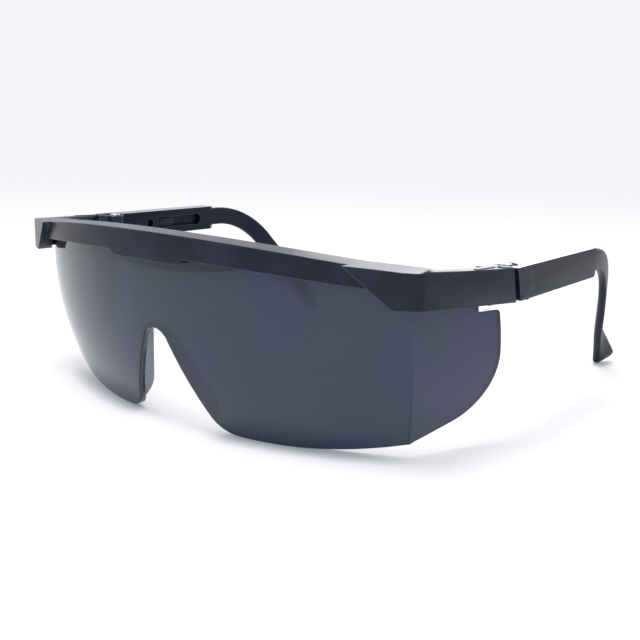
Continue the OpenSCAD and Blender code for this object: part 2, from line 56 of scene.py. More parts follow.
CREASE_R, CREASE_STEPS = 0.9, 7
SHIELD_BACK, SHIELD_FOOT, SHIELD_CORNER_R = 51.0, 12.5, 16.5
SHIELD_TOP, SHIELD_HELD, SHIELD_STEP, SHIELD_LEAN = 36.4, 42.4, 41.2, 2.7
SHIELD_TIP_R, HELD_BACK = 1.2, 24.9
ARCH_R, BROW_TOP, COVER = 425.0, 53.0, 1.95
ROOF_Z, ROOF_X = 45.85, 55.8


def rounded(corners, n=8, inset=0.0):
    """The outline through corners (x, y, radius), with an arc of n steps at each rounded one.

    With inset the whole outline, which is then convex, lies that much further in."""
    points = []
    for before, here, after in zip(corners[-1:] + corners[:-1], corners, corners[1:] + corners[:1]):
        b = Vector(here[:2])
        u, v = (Vector(before[:2]) - b).normalized(), (Vector(after[:2]) - b).normalized()
        half = acos(max(-1.0, min(1.0, u.dot(v)))) / 2
        b += (u + v).normalized() * inset / sin(half)
        if not here[2]:
            points.append(b)
            continue
        r = max(here[2] - inset, 0.02)
        centre = b + (u + v).normalized() * r / sin(half)
        start, end = b + u * r / tan(half) - centre, b + v * r / tan(half) - centre
        turn = pi - 2 * half
        if start.x * end.y - start.y * end.x < 0:
            turn = -turn
        for k in range(n + 1):
            c, s = cos(turn * k / n), sin(turn * k / n)
            points.append(centre + Vector((start.x * c - start.y * s, start.x * s + start.y * c)))
    return points


def steps(low, high, count):
    return [low + (high - low) * k / (count - 1) for k in range(count)]


def follow(value, table):
    """Straight-line reading of a table of (argument, result), in rising order."""
    if value <= table[0][0]:
        return table[0][1]
    for (a, fa), (b, fb) in zip(table, table[1:]):
        if value <= b:
            return fa + (fb - fa) * (value - a) / (b - a) if b > a else fb
    return table[-1][1]


def ring_r(z, g=0.0):
    """Radius of the lens front at height z, seen from above, with g added to its wall."""
    return FACE_R - PROFILE_R + sqrt((PROFILE_R + g) ** 2 - (z - APEX_Z) ** 2)


def front_y(x, z, g=0.0):
    """Depth of the lens front behind its foremost point."""
    return FACE_R - sqrt(ring_r(z, g) ** 2 - x * x)


CREASE_Y = front_y(CREASE_X, SHIELD_Z)


def plan_corner(z, g=0.0):
    """The rounded crease at height z: its centre, its start on the front, its end on the shield."""
    along, out = Vector((sin(FLARE), cos(FLARE))), Vector((cos(FLARE), -sin(FLARE)))
    front_r, middle = ring_r(z, g), Vector((0, FACE_R))
    inset = SHIELD_R - sqrt((SHIELD_R + g) ** 2 - (z - SHIELD_Z) ** 2)
    base = Vector((CREASE_X, CREASE_Y)) - out * (inset + CREASE_R) - middle
    b, c = base.dot(along), base.dot(base) - (front_r - CREASE_R) ** 2
    centre = base + along * (-b - sqrt(b * b - c)) + middle
    leave = middle + (centre - middle) * front_r / (front_r - CREASE_R)
    return centre, leave, centre + out * CREASE_R


def lobe_edge(x):
    """Height of a lobe's lower edge."""
    return LOBE_R - sqrt(LOBE_R ** 2 - (x - LOBE_X) ** 2)


ARCH_TOP_R = (NOTCH_W * cos(NOTCH_LEAN) - NOTCH_TOP * sin(NOTCH_LEAN)) / (1 - sin(NOTCH_LEAN))
FOOT_X = NOTCH_W + NOTCH_FOOT_R / cos(NOTCH_LEAN) - (NOTCH_FOOT_R + FOOT_RISE) * tan(NOTCH_LEAN)
FOOT_Z = LOBE_R - sqrt((LOBE_R - NOTCH_FOOT_R) ** 2 - (LOBE_X - FOOT_X) ** 2)
FOOT_ON_LOBE = LOBE_X + (FOOT_X - LOBE_X) * LOBE_R / (LOBE_R - NOTCH_FOOT_R)
FOOT_ON_SIDE = FOOT_X - NOTCH_FOOT_R * cos(NOTCH_LEAN)


def lower_edge(x):
    """Height of the lens's lower edge at x: nose arch, leaning side, rounding and lobe."""
    x = abs(x)
    if x < ARCH_TOP_R * cos(NOTCH_LEAN):
        return NOTCH_TOP - ARCH_TOP_R + sqrt(ARCH_TOP_R ** 2 - x * x)
    if x < FOOT_ON_SIDE:
        return (NOTCH_W - x) / tan(NOTCH_LEAN)
    if x < FOOT_ON_LOBE:
        return FOOT_Z - sqrt(NOTCH_FOOT_R ** 2 - (x - FOOT_X) ** 2)
    return lobe_edge(x)


def hidden_top(x):
    """Height of the lens's top edge, inside the frame: under the arch, and flat in the corners."""
    arch = BROW_TOP - ARCH_R + sqrt(ARCH_R ** 2 - x * x) - COVER
    return min(arch, ROOF_Z) if x > ROOF_X else arch


near_crease = CREASE_X - 3
crease_foot_z = lobe_edge(plan_corner(lobe_edge(near_crease))[1].x)
crease_foot_y = plan_corner(crease_foot_z)[1].y
foot_slope = (SHIELD_FOOT - crease_foot_z) / (SHIELD_BACK - crease_foot_y)
lead_in = 40
free_edge = rounded([(crease_foot_y - lead_in, crease_foot_z - lead_in * foot_slope, 0),
                     (SHIELD_BACK, SHIELD_FOOT, SHIELD_CORNER_R),
                     (SHIELD_BACK - SHIELD_LEAN, SHIELD_TOP, SHIELD_TIP_R),
                     (SHIELD_STEP, SHIELD_TOP, 0)], 24)[:-1]
free_edge = [(p.y, p.x) for p in free_edge]


def shield_rear(z):
    """Depth of the shield's rear edge at height z."""
    if z <= SHIELD_TOP:
        return follow(z, free_edge)
    return SHIELD_STEP if z <= SHIELD_HELD else HELD_BACK


# Rows lie close together round the shield's upper corner, and in pairs where its edge steps
tip_rows, pair_gap = [35.2, 35.4, 35.6, 35.8, 35.95, 36.1, 36.22, 36.32], 0.02
open_rows, held_rows = steps(crease_foot_z, 34.9, 62), steps(37.2, SHIELD_HELD, 7)
channel_row = 44.5
heights = (open_rows + tip_rows + [SHIELD_TOP, SHIELD_TOP + pair_gap]
           + held_rows + [SHIELD_HELD + pair_gap, channel_row])
heights.append(hidden_top(CREASE_X))
rise = [(z - heights[0]) / (heights[-1] - heights[0]) for z in heights]
# Columns lie close together over the nose arch and its foot
nose_columns, lobe_columns = steps(0, 17, 62), steps(17.6, CREASE_X, 56)
columns = nose_columns + lobe_columns


def lens_side(g):
    """Left half of one face of the shell: rows of points from the middle to the shield's rear."""
    grid = [[] for _ in heights]
    for x0 in columns:
        share = x0 / CREASE_X
        low = lower_edge(x0)
        # The crease moves with the height, so edge and crease are settled in turn
        for _ in range(6):
            low = lower_edge(share * plan_corner(low, g)[1].x)
        high = hidden_top(x0)
        for row, t in zip(grid, rise):
            z = low + t * (high - low)
            x = share * plan_corner(z, g)[1].x
            row.append((x, front_y(x, z, g), z))
    for row, z in zip(grid, heights):
        centre, leave, join = plan_corner(z, g)
        a, b = leave - centre, join - centre
        for k in range(1, CREASE_STEPS + 1):
            p = centre + (a.lerp(b, k / CREASE_STEPS)).normalized() * CREASE_R
            row.append((p.x, p.y, z))
        rear = max(shield_rear(z), join.y + 0.001)
        for w in steps(0, 1, 26)[1:]:
            y = join.y + (rear - join.y) * w
            row.append((join.x + (y - join.y) * tan(FLARE), y, z))
    return grid


def whole(grid):
    """A half mirrored to the other side, as one grid from right to left."""
    return [[(-x, y, z) for x, y, z in reversed(row[1:])] + row for row in grid]


class Shape:
    """Collects points in millimetres and faces, and turns them into a Blender object."""

    def __init__(self):
        self.points, self.faces = [], []

    def add(self, points):
        self.points.extend(points)
        return list(range(len(self.points) - len(points), len(self.points)))

    def grid(self, rows, flip=False, loop=False):
        """Quads over rows of points. With loop each row closes on itself."""
        ids = [self.add(row) for row in rows]
        for low, high in zip(ids, ids[1:]):
            n = len(low)
            for k in range(n if loop else n - 1):
                quad = (low[k], low[(k + 1) % n], high[(k + 1) % n], high[k])
                self.faces.append(quad[::-1] if flip else quad)
        return ids

    def strip(self, one, other):
        """Quads between two lists of point numbers."""
        self.faces.extend(zip(one, one[1:], other[1:], other))

    def tube(self, sections):
        """A closed body through a row of closed sections, with a flat cap at both ends."""
        ids = self.grid(sections, loop=True)
        self.faces += [tuple(ids[0]), tuple(reversed(ids[-1]))]

    def plate(self, corners, rings, place, n):
        """A plate with a rounded outline: rings are (inset, height), place sets them in space."""
        self.tube([[place(p.x, p.y, up) for p in rounded(corners, n, inset)]
                   for inset, up in rings])

    def make(self, name, sharp, more=()):
        """The object, with other meshes joined to it; edges over sharp degrees stay sharp."""
        mesh = bpy.data.meshes.new(name)
        places = [(x * MM, (y + APEX_Y) * MM, z * MM) for x, y, z in self.points]
        mesh.from_pydata(places, [], self.faces)
        return joined(name, [mesh, *more], sharp)


def joined(name, meshes, sharp):
    """One object of these meshes: doubled points merged, faces turned out, soft edges smooth."""
    bm = bmesh.new()
    for mesh in meshes:
        bm.from_mesh(mesh)
    mesh = bpy.data.meshes.new(name)
    bmesh.ops.remove_doubles(bm, verts=bm.verts, dist=0.00001)
    bmesh.ops.dissolve_degenerate(bm, edges=bm.edges, dist=0.000005)
    bmesh.ops.recalc_face_normals(bm, faces=bm.faces)
    bm.to_mesh(mesh)
    bm.free()
    mesh.shade_smooth()
    mesh.set_sharp_from_angle(angle=radians(sharp))
    obj = bpy.data.objects.new(name, mesh)
    bpy.context.scene.collection.objects.link(obj)
    return obj


class Link:
    """A node's output that Python's own signs work on."""

    def __init__(self, tree, socket):
        self.tree, self.socket = tree, socket

    def maths(self, operation, *values):
        inputs = dict(enumerate(values))
        return self.tree.node("ShaderNodeMath", {"operation": operation}, inputs).out(0)

    def __add__(self, other):
        return self.maths("ADD", self, other)

    def __sub__(self, other):
        return self.maths("SUBTRACT", self, other)

    def __mul__(self, other):
        return self.maths("MULTIPLY", self, other)

    def __truediv__(self, other):
        return self.maths("DIVIDE", self, other)

    def __rsub__(self, other):
        return self.maths("SUBTRACT", other, self)

    def least(self, other):
        return self.maths("MINIMUM", self, other)

    def most(self, other):
        return self.maths("MAXIMUM", self, other)

    def sine(self):
        return self.maths("SINE", self)

    def cosine(self):
        return self.maths("COSINE", self)

    def root(self):
        return self.maths("SQRT", self)

    __radd__, __rmul__ = __add__, __mul__

    def above(self, edge, width):
        """0 below the edge and 1 above it, turning smoothly over the width."""
        return self.tree.node("ShaderNodeMapRange", {"interpolation_type": "SMOOTHSTEP"}, {
            "Value": self, "From Min": edge - width / 2, "From Max": edge + width / 2}).out(0)


class Made:
    """A node that is in place, with its outputs as links."""

    def __init__(self, tree, node):
        self.tree, self.item = tree, node

    def out(self, key):
        return Link(self.tree, self.item.outputs[key])


class Tree:
    """A node tree whose nodes all come from one method."""

    def __init__(self, tree):
        self.nodes, self.links = tree.nodes, tree.links

    def node(self, kind, settings, inputs):
        item = self.nodes.new(kind)
        for key, value in settings.items():
            setattr(item, key, value)
        for key, value in inputs.items():
            self.join(item.inputs[key], value)
        return Made(self, item)

    def join(self, socket, value):
        if isinstance(value, Link):
            self.links.new(value.socket, socket)
        elif value is not None:
            socket.default_value = value


class Finish(Tree):
    """A material with one Principled shader."""

    def __init__(self, name, **shader):
        self.material = bpy.data.materials.new(name)
        self.material.use_nodes = True
        super().__init__(self.material.node_tree)
        self.shader = self.nodes["Principled BSDF"]
        for key, value in shader.items():
            self.shader.inputs[key.replace("_", " ")].default_value = value
        self.place = self.node("ShaderNodeTexCoord", {}, {}).out("Object")

    def set(self, **values):
        for key, value in values.items():
            self.join(self.shader.inputs[key.replace("_", " ")], value)
        return self

    def noise(self, scale, detail=2.0, roughness=0.5, stretch=(1, 1, 1)):
        where = self.node("ShaderNodeMapping", {}, {"Vector": self.place, "Scale": stretch}).out(0)
        return self.node("ShaderNodeTexNoise", {}, {
            "Vector": where, "Scale": scale, "Detail": detail, "Roughness": roughness}).out(0)

    def blend(self, share, one, other):
        """The colour one where share is 0 and the colour other where it is 1."""
        one, other = ((*c, 1) if isinstance(c, tuple) else c for c in (one, other))
        inputs = {0: share, 6: one, 7: other}
        return self.node("ShaderNodeMix", {"data_type": "RGBA"}, inputs).out(2)

    def rim(self, radius):
        """1 within the radius of a sharp edge, 0 on the open surface."""
        soft = self.node("ShaderNodeBevel", {"samples": 8}, {"Radius": radius}).out(0)
        flat = self.node("ShaderNodeNewGeometry", {}, {}).out("Normal")
        match = self.node("ShaderNodeVectorMath", {"operation": "DOT_PRODUCT"}, {0: soft, 1: flat})
        return (1.0 - match.out("Value")).above(edge=0.1, width=0.16)

    def bump(self, height, depth, strength=1.0, edge=0.0):
        """Raises the surface by height, over edges that look rounded by the radius edge."""
        soft = None
        if edge:
            soft = self.node("ShaderNodeBevel", {"samples": 6}, {"Radius": edge}).out(0)
        normal = self.node("ShaderNodeBump", {}, {
            "Height": height, "Distance": depth, "Strength": strength, "Normal": soft})
        self.join(self.shader.inputs["Normal"], normal.out(0))
        return self


SMOKE = (0.024, 0.041, 0.086)
SMOKE_GREEN = (0.026, 0.049, 0.075)
SMOKE_VIOLET = (0.030, 0.040, 0.096)
PAINTED_RIM_SHADE, PAINTED_RIM_WIDTH = (0.004, 0.006, 0.010), 0.9
FLANGE_LIT_SMOKE, FLANGE_LIT_SMOKE_PALE = (0.17, 0.19, 0.26), (0.21, 0.22, 0.28)
LENS_EDGE_R = 0.12

shell = Shape()
outer, inner = whole(lens_side(0)), whole(lens_side(-LENS_T))
outer_ids, inner_ids = shell.grid(outer), shell.grid(inner, flip=True)
shell.strip(outer_ids[0], inner_ids[0])
shell.strip(outer_ids[-1], inner_ids[-1])
for k in (0, -1):
    shell.strip([row[k] for row in outer_ids], [row[k] for row in inner_ids])
lens = shell.make("lens_shell", 50)
edge_round = lens.modifiers.new("edge", "BEVEL")
edge_round.width, edge_round.segments = LENS_EDGE_R * MM, 2
edge_round.limit_method = "ANGLE"
edge_round.angle_limit, edge_round.harden_normals = radians(50), False

# The flange runs round the nose arch from foot to foot, and fades in from each foot
FLANGE_T, FLANGE_START, FLANGE_LEAST = 1.5, 0.6, 0.1
FLANGE_OUTLINE = [(0.4, 35.8, 0), (12.6, 6.8, 6.0), (7.4, 1.1, 0)]
FLANGE_SECTION = [(0, 0), (0.5, 0), (1, 0), (1, 0.12), (1, 0.3),
                  (1, 0.7), (1, 0.88), (1, 1), (0.5, 1), (0, 1)]
FLANGE_ROUND = {0: 0.25, 0.12: 0.07, 0.88: 0.07, 1: 0.25}
FLANGE_FOOT, FADE_START, FADE_RATE = radians(72), 0.4, 4
SIDE_TOP = 20.5

behind_lens = [(-10, 1.1, 0), (-10, 39.8, 0)]
flange_edge = sorted((p.y, p.x) for p in rounded(behind_lens + FLANGE_OUTLINE, 12)[2:])
flange = Shape()
path = [(FOOT_X - NOTCH_FOOT_R * cos(a), FOOT_Z - NOTCH_FOOT_R * sin(a), a,
         min(1.0, FADE_START + (FLANGE_FOOT - a) * FADE_RATE))
        for a in steps(FLANGE_FOOT, NOTCH_LEAN, 18)]
path += [(NOTCH_W - z * tan(NOTCH_LEAN), z, NOTCH_LEAN, 1)
         for z in steps(path[-1][1], SIDE_TOP, 32)[1:]]
arc_centre = NOTCH_TOP - ARCH_TOP_R
path += [(ARCH_TOP_R * cos(a), arc_centre + ARCH_TOP_R * sin(a), a, 1)
         for a in steps(NOTCH_LEAN, pi / 2, 20)[1:]]
path += [(-x, z, pi - a, share) for x, z, a, share in reversed(path[:-1])]
sections = []
for x, z, a, share in path:
    out_x, out_z = cos(a), sin(a)
    section = []
    for depth, off in FLANGE_SECTION:
        px, pz = x + out_x * off * FLANGE_T, z + out_z * off * FLANGE_T
        start = front_y(px, pz) + LENS_T * FLANGE_START
        reach = follow(z, flange_edge) - FLANGE_ROUND.get(off, 0) - start
        section.append((px, start + max(reach, FLANGE_LEAST) * depth * share, pz))
    sections.append(section)
flange.tube(sections)
nose_flange = flange.make("nose_flange", 50)

smoke = Finish("smoke_polycarbonate", IOR=1.5, Transmission_Weight=0.6)
green = smoke.noise(scale=16, detail=1.0).above(edge=0.52, width=0.2)
tint = smoke.blend(green, SMOKE, SMOKE_GREEN)
violet = smoke.noise(scale=21, detail=1.5, stretch=(1, 1.3, 0.8)).above(edge=0.60, width=0.16)
tint = smoke.blend(violet, tint, SMOKE_VIOLET)
# Painted shade: a near-black line along the lens's edges, which are also made rougher
rough_rim_and_shade = smoke.rim(PAINTED_RIM_WIDTH * MM)
tint = smoke.blend(rough_rim_and_shade, tint, PAINTED_RIM_SHADE)
smoke.set(Base_Color=tint, Roughness=0.05 + 0.05 * smoke.noise(scale=60, detail=3) + 0.7 * rough_rim_and_shade)
smoke.bump(smoke.noise(scale=9, detail=1.0), depth=0.25 * MM, strength=0.5)
# Painted light: the nose flange is the lens's own smoke plastic, only a little thinner, given a
# much paler tint for the light that shows through it
flange_lit = Finish("flange_smoke_painted_light", IOR=1.5, Transmission_Weight=0.7)
patches = flange_lit.noise(scale=30).above(edge=0.5, width=0.4)
flange_lit.set(Base_Color=flange_lit.blend(patches, FLANGE_LIT_SMOKE, FLANGE_LIT_SMOKE_PALE),
         Roughness=0.08 + 0.06 * flange_lit.noise(scale=60, detail=3))
for piece, finish in ((lens, smoke), (nose_flange, flange_lit)):
    piece.data.materials.append(finish.material)
    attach(piece, "frame")
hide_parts("lens")

# Brow frame: one black nylon moulding that grips the lens's top edge in a groove. It has the
# step of the raised corners, the two wings with their hinge lugs, and a ridge and a boss on top
# of each wing.
EDGE, MOULD_SHARP = 0.35, radians(28)
WING_END, WING_OUT, WING_TOP, WING_MID_Z = 47.4, 77.54, 47.8, 43.5
WING_IN, END_SLOPE, END_OUT = 70.0, 0.2309, 0.45
WING_FADE, WING_RISE = [(54, 0), (66, 1)], [(15.6, 0.9), (WING_END, -0.45)]
MARK_START, MARK_END, MARK_SHARE = 30.0, 48.5, 0.55
SLEEVE_FRONT, SLEEVE_SIDE, SLEEVE_FORWARD = 48.0, 76.3, 0.25
END_SLANT, FRONT_SLANT = 0.26, 0.32
# Bands that pick out the points of the wing's end, its side and the sleeve's front
END_NEAR, EDGE_W, EDGE_FROM, EDGE_TO = 0.15, 1.0, 46.5, 47.9
SIDE_W, SIDE_FROM = 0.25, 46.0
FRONT_FROM, FRONT_TO = SLEEVE_FRONT - 0.1, SLEEVE_FRONT + 0.45


def dress_wing(v, x, y, z):
    """Slants the wing's rear end and sets it outwards, lowers its marks, drops it to the rear."""
    end_face = abs(y - WING_END - (WING_OUT - x) * END_SLOPE) < END_NEAR
    end_edge = x > WING_OUT - EDGE_W and EDGE_FROM < y < EDGE_TO
    if x > WING_IN and (end_face or end_edge):
        v.co.y -= (z - WING_MID_Z) * END_SLANT * MM
    if x > WING_IN and MARK_START < y < MARK_END and z > WING_TOP:
        v.co.z = (WING_TOP + (z - WING_TOP) * MARK_SHARE) * MM
    v.co.z += follow(x, WING_FADE) * follow(y, WING_RISE) * MM
    if x > WING_OUT - SIDE_W and y > SIDE_FROM:
        v.co.x += END_OUT * MM * (1 if v.co.x > 0 else -1)


def dress_sleeve(v, x, y, z):
    """Slants the sleeve's front, in step with the wing's end."""
    if x > SLEEVE_SIDE and FRONT_FROM < y < FRONT_TO:
        v.co.y -= ((z - WING_MID_Z) * FRONT_SLANT + SLEEVE_FORWARD) * MM


def moulded(node, name, dress=None):
    """A copy of a CAD node with its points merged, and moved by dress where it is given."""
    bm = bmesh.new()
    bm.from_mesh(nodes[node].data)
    bmesh.ops.remove_doubles(bm, verts=bm.verts, dist=0.000004)
    bmesh.ops.dissolve_degenerate(bm, edges=bm.edges, dist=0.000004)
    for v in bm.verts if dress else ():
        dress(v, abs(v.co.x) / MM, v.co.y / MM - APEX_Y, v.co.z / MM)
    mesh = bpy.data.meshes.new(name)
    bm.to_mesh(mesh)
    bm.free()
    mesh.materials.clear()
    mesh.shade_smooth()
    mesh.set_sharp_from_angle(angle=MOULD_SHARP)
    obj = bpy.data.objects.new(name, mesh)
    bpy.context.scene.collection.objects.link(obj)
    even = obj.modifiers.new("even_faces", "WEIGHTED_NORMAL")
    even.mode, even.weight, even.keep_sharp = "FACE_AREA", 100, True
    return obj


BLACK = (0.006, 0.0085, 0.020)
BLACK_WORN = (0.013, 0.017, 0.033)
EDGE_PAINTED_HIGHLIGHT = (0.17, 0.18, 0.23)


def black_plastic(name, gloss, shine, polished_top=False):
    """Moulded blue-black plastic: faint flow marks, fine orange peel, a painted highlight on edges.
    """
    finish = Finish(name, IOR=1.45, Specular_IOR_Level=shine)
    flow = finish.noise(scale=90, detail=4, roughness=0.6, stretch=(1, 0.35, 1))
    colour = finish.blend(flow.above(edge=0.55, width=0.3), BLACK, BLACK_WORN)
    # Painted highlight: a paler colour within the edge radius of every sharp edge, for the light
    # that rounded edges catch
    colour = finish.blend(finish.rim(EDGE * MM) * 0.6, colour, EDGE_PAINTED_HIGHLIGHT)
    wear = finish.noise(scale=55, detail=3)
    finish.set(Base_Color=colour, Roughness=gloss + 0.1 * wear + 0.04 * flow)
    if polished_top:
        facing = finish.node("ShaderNodeNewGeometry", {}, {}).out("Normal")
        upward = finish.node("ShaderNodeSeparateXYZ", {}, {0: facing}).out("Z")
        finish.set(Coat_Weight=upward.above(edge=0.9, width=0.1))
    peel = finish.noise(scale=1400, detail=2, roughness=0.6)
    return finish.bump(peel, depth=0.02 * MM, strength=0.3, edge=EDGE * MM)


frame_finish = black_plastic("frame_plastic", 0.22, 0.3)
brow = moulded("brow_frame", "brow_frame_moulding", dress_wing)
brow.data.materials.append(frame_finish.material)
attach(brow, "frame")
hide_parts("brow_frame")

# Temple sleeves: square black tubes moulded with the hinge knuckle and a window in the inner
# wall. The knuckle turns on the pin between the frame's two lugs.
sleeve_finish = black_plastic("sleeve_plastic", 0.3, 0.14, polished_top=True)
for side in ("left", "right"):
    sleeve = moulded(f"temple_sleeve_{side}", f"sleeve_{side}_moulding", dress_sleeve)
    sleeve.data.materials.append(sleeve_finish.material)
    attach(sleeve, f"sleeve_{side}")
    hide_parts(f"temple_sleeve_{side}")

# Ear arms: flat black blades that slide in the sleeves, bent down behind the ear and spread
# into a paddle at the tip. A land on the blade's inner side shows in the sleeve's window.
SLEEVE_IN, SLEEVE_END, SLEEVE_MID_Z = 72.6, 99.3, 43.25
ARM_H, ARM_T, ARM_IN, ARM_X = 6.4, 2.3, 41.0, 75.7
BEND_START, BEND_R, BEND = 4.0, 30.0, radians(50)
INWARD_R, CURVE_REACH = 95.0, 33.4
LEAN = tan(asin(CURVE_REACH / INWARD_R))
TOE_R, TIP_R, TOE_LIFT = 2.2, 3.4, 0.12
PADDLE_L, PADDLE_OUT, PADDLE_BACK, PADDLE_DOWN = 15.0, 6.7, 2.3, 0.7
LEG_Z = SLEEVE_MID_Z - BEND_R * (1 - cos(BEND))
LEG_L = (LEG_Z - (ARM_H / 2 - TOE_R) * cos(BEND) - TOE_R - TOE_LIFT) / sin(BEND) + TOE_R
WINDOW_L, WINDOW_BACK = 19.0, 10.6
LAND_REST, LAND_L, LAND_HALF_H, LAND_R = 0.5, 7.0, 1.5, 0.8
LAND_RINGS = [(0, 1.5), (0, 0.35), (0.07, 0.25), (0.22, 0.2)]


class Recipe(Tree):
    """A Geometry Nodes tree with named sizes, laid on a grid of steps along and round a piece."""

    def __init__(self, name, along, round_it, **sizes):
        self.group = bpy.data.node_groups.new(name, "GeometryNodeTree")
        super().__init__(self.group)
        sockets = self.group.interface
        sockets.new_socket("Geometry", in_out="OUTPUT", socket_type="NodeSocketGeometry")
        self.sizes = {key.replace("_", " "): value for key, value in sizes.items()}
        for key, value in self.sizes.items():
            kind = "NodeSocketMaterial" if key == "Finish" else "NodeSocketFloat"
            sockets.new_socket(key, in_out="INPUT", socket_type=kind)
        self.given = self.node("NodeGroupInput", {}, {})
        self.grid = self.node("GeometryNodeMeshGrid", {}, {
            "Size X": 1.0, "Size Y": 1.0, "Vertices X": along, "Vertices Y": round_it}).out(0)
        position = self.node("GeometryNodeInputPosition", {}, {}).out(0)
        where = self.node("ShaderNodeSeparateXYZ", {}, {0: position})
        self.u, self.v = where.out(0) + 0.5, where.out(1) + 0.5

    def bake(self, name, x, y, z):
        """Puts the grid's points at x, y, z in millimetres and returns a plain mesh."""
        place = self.node("ShaderNodeCombineXYZ", {}, {
            0: x * MM, 1: (y + APEX_Y) * MM, 2: z * MM}).out(0)
        formed = self.node("GeometryNodeSetPosition", {}, {
            "Geometry": self.grid, "Position": place})
        closed = self.node("GeometryNodeMergeByDistance", {}, {
            "Geometry": formed.out(0), "Distance": 0.000002})
        real = self.node("GeometryNodeRealizeInstances", {}, {"Geometry": closed.out(0)})
        done = self.node("GeometryNodeSetMaterial", {}, {
            "Geometry": real.out(0), "Material": self.given.out("Finish")})
        self.node("NodeGroupOutput", {}, {0: done.out(0)})
        carrier = bpy.data.objects.new(name, bpy.data.meshes.new(name))
        bpy.context.scene.collection.objects.link(carrier)
        modifier = carrier.modifiers.new("recipe", "NODES")
        modifier.node_group = self.group
        for item in self.group.interface.items_tree:
            if item.in_out == "INPUT":
                modifier[item.identifier] = self.sizes[item.name]
        graph = bpy.context.evaluated_depsgraph_get()
        mesh = bpy.data.meshes.new_from_object(carrier.evaluated_get(graph))
        carrier.modifiers.remove(modifier)
        bpy.data.objects.remove(carrier)
        return mesh


arm_finish = black_plastic("arm_plastic", 0.26, 0.16)
rings, round_blade = 190, 45
blade = Recipe(
    "ear_arm_blade", rings, round_blade, Height=ARM_H, Thickness=ARM_T, Edge_radius=0.75,
    Toe_radius=TOE_R, Tip_radius=TIP_R, Swelling=0.1, Rounding=0.4, Paddle_length=PADDLE_L,
    Paddle_out=PADDLE_OUT, Paddle_back=PADDLE_BACK, Paddle_down=PADDLE_DOWN,
    Straight=ARM_IN + BEND_START, Bend_radius=BEND_R, Bend_angle=BEND, Leg=LEG_L,
    Inward_radius=INWARD_R, Curve_reach=CURVE_REACH, Lean=LEAN, Finish=arm_finish.material)
half_h, half_t = blade.given.out("Height") * 0.5, blade.given.out("Thickness") * 0.5
edge, toe, tip = (blade.given.out(key) for key in ("Edge radius", "Toe radius", "Tip radius"))
straight, bend_r, bend = (blade.given.out(key) for key in ("Straight", "Bend radius", "Bend angle"))
inward = blade.given.out("Inward radius")
length = straight + bend_r * bend + blade.given.out("Leg")
# s runs along the blade from inside the sleeve to the toe, and turn round its section
s = (blade.u * (pi / 2)).sine() * length
turn = blade.v * (2 * pi)
past_t, past_toe = ((s - length + tip) / tip).most(0.0), (s - length + toe).most(0.0)
tip_t = (1 - past_t * past_t).root()
tip_h = (half_h - toe + (toe * toe - past_toe * past_toe).root()) / half_h
lead = (blade.u * (rings - 1)).least(1.0)
share = ((s - straight) / bend_r).most(0.0).least(1.0)
edge = edge * (1.0 + blade.given.out("Rounding") * share)
flat_t, flat_h = half_t - edge, half_h - edge
swell = 1.0 + blade.given.out("Swelling") * share
# t and h are a point's place in the section, across its thickness and its height
snap = 60
t = (turn.cosine() * snap).least(flat_t).most(0 - flat_t) + edge * turn.cosine()
h = (turn.sine() * snap).least(flat_h).most(0 - flat_h) + edge * turn.sine()
t, h = t * tip_t * lead * swell, h * tip_h * lead
angle = ((s - straight) / bend_r).most(0.0).least(bend)
over = (s - straight - bend_r * bend).most(0.0)
arm_y = (SLEEVE_END - ARM_IN + s.least(straight) + bend_r * angle.sine() + over * bend.cosine()
         + h * angle.sine())
arm_z = SLEEVE_MID_Z - bend_r * (1 - angle.cosine()) - over * bend.sine() + h * angle.cosine()
# The paddle: the blade's rear edge leans outwards over the last stretch
spread = ((s - length) / blade.given.out("Paddle length") + 1.0).most(0.0)
fan = spread * (h + half_h) / (half_h * 2.0)
arm_y = arm_y + fan * blade.given.out("Paddle back")
arm_z = arm_z - fan * blade.given.out("Paddle down")
# Behind the sleeve the blade curves inwards and then runs straight
behind = (arm_y - SLEEVE_END).most(0.0)
curved = behind.least(blade.given.out("Curve reach"))
arm_x = (ARM_X - inward + ((inward + t) * (inward + t) - curved * curved).root()
         - (behind - curved) * blade.given.out("Lean") + fan * blade.given.out("Paddle out"))
blade_mesh = blade.bake("ear_arm_blade", arm_x, arm_y, arm_z)

land = Shape()
land_front = SLEEVE_END - WINDOW_BACK - WINDOW_L + LAND_REST
land_low, land_high = SLEEVE_MID_Z - LAND_HALF_H, SLEEVE_MID_Z + LAND_HALF_H
land.plate([(land_front, land_low, LAND_R), (land_front + LAND_L, land_low, LAND_R),
            (land_front + LAND_L, land_high, LAND_R), (land_front, land_high, LAND_R)],
           LAND_RINGS, lambda along, across, up: (SLEEVE_IN + up, along, across), 6)
for side in ("left", "right"):
    arm = land.make(f"arm_{side}_moulding", 40, [blade_mesh])
    if side == "right":
        arm.data.transform(Matrix.Scale(-1, 4, (1, 0, 0)))
        arm.data.flip_normals()
    arm.data.materials.clear()
    arm.data.materials.append(arm_finish.material)
    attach(arm, f"arm_{side}")
    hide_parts(f"ear_arm_{side}")

# Hinge pins: plain steel pins with a thin flat head. Each goes down through the frame's two lugs
# and the sleeve's knuckle between them, and its head lies in the top of the upper lug.
STEEL, STEEL_BRIGHT = (0.48, 0.49, 0.51), (0.62, 0.63, 0.65)
steel = Finish("pin_steel", Metallic=1.0)
steel.set(Base_Color=steel.blend(steel.noise(scale=900, detail=3), STEEL, STEEL_BRIGHT),
          Roughness=0.22 + 0.2 * steel.noise(scale=1500, detail=2))
for side in ("left", "right"):
    pin = moulded(f"hinge_pin_{side}", f"pin_{side}_turned")
    pin.data.materials.append(steel.material)
    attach(pin, "frame")
    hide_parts(f"hinge_pin_{side}")

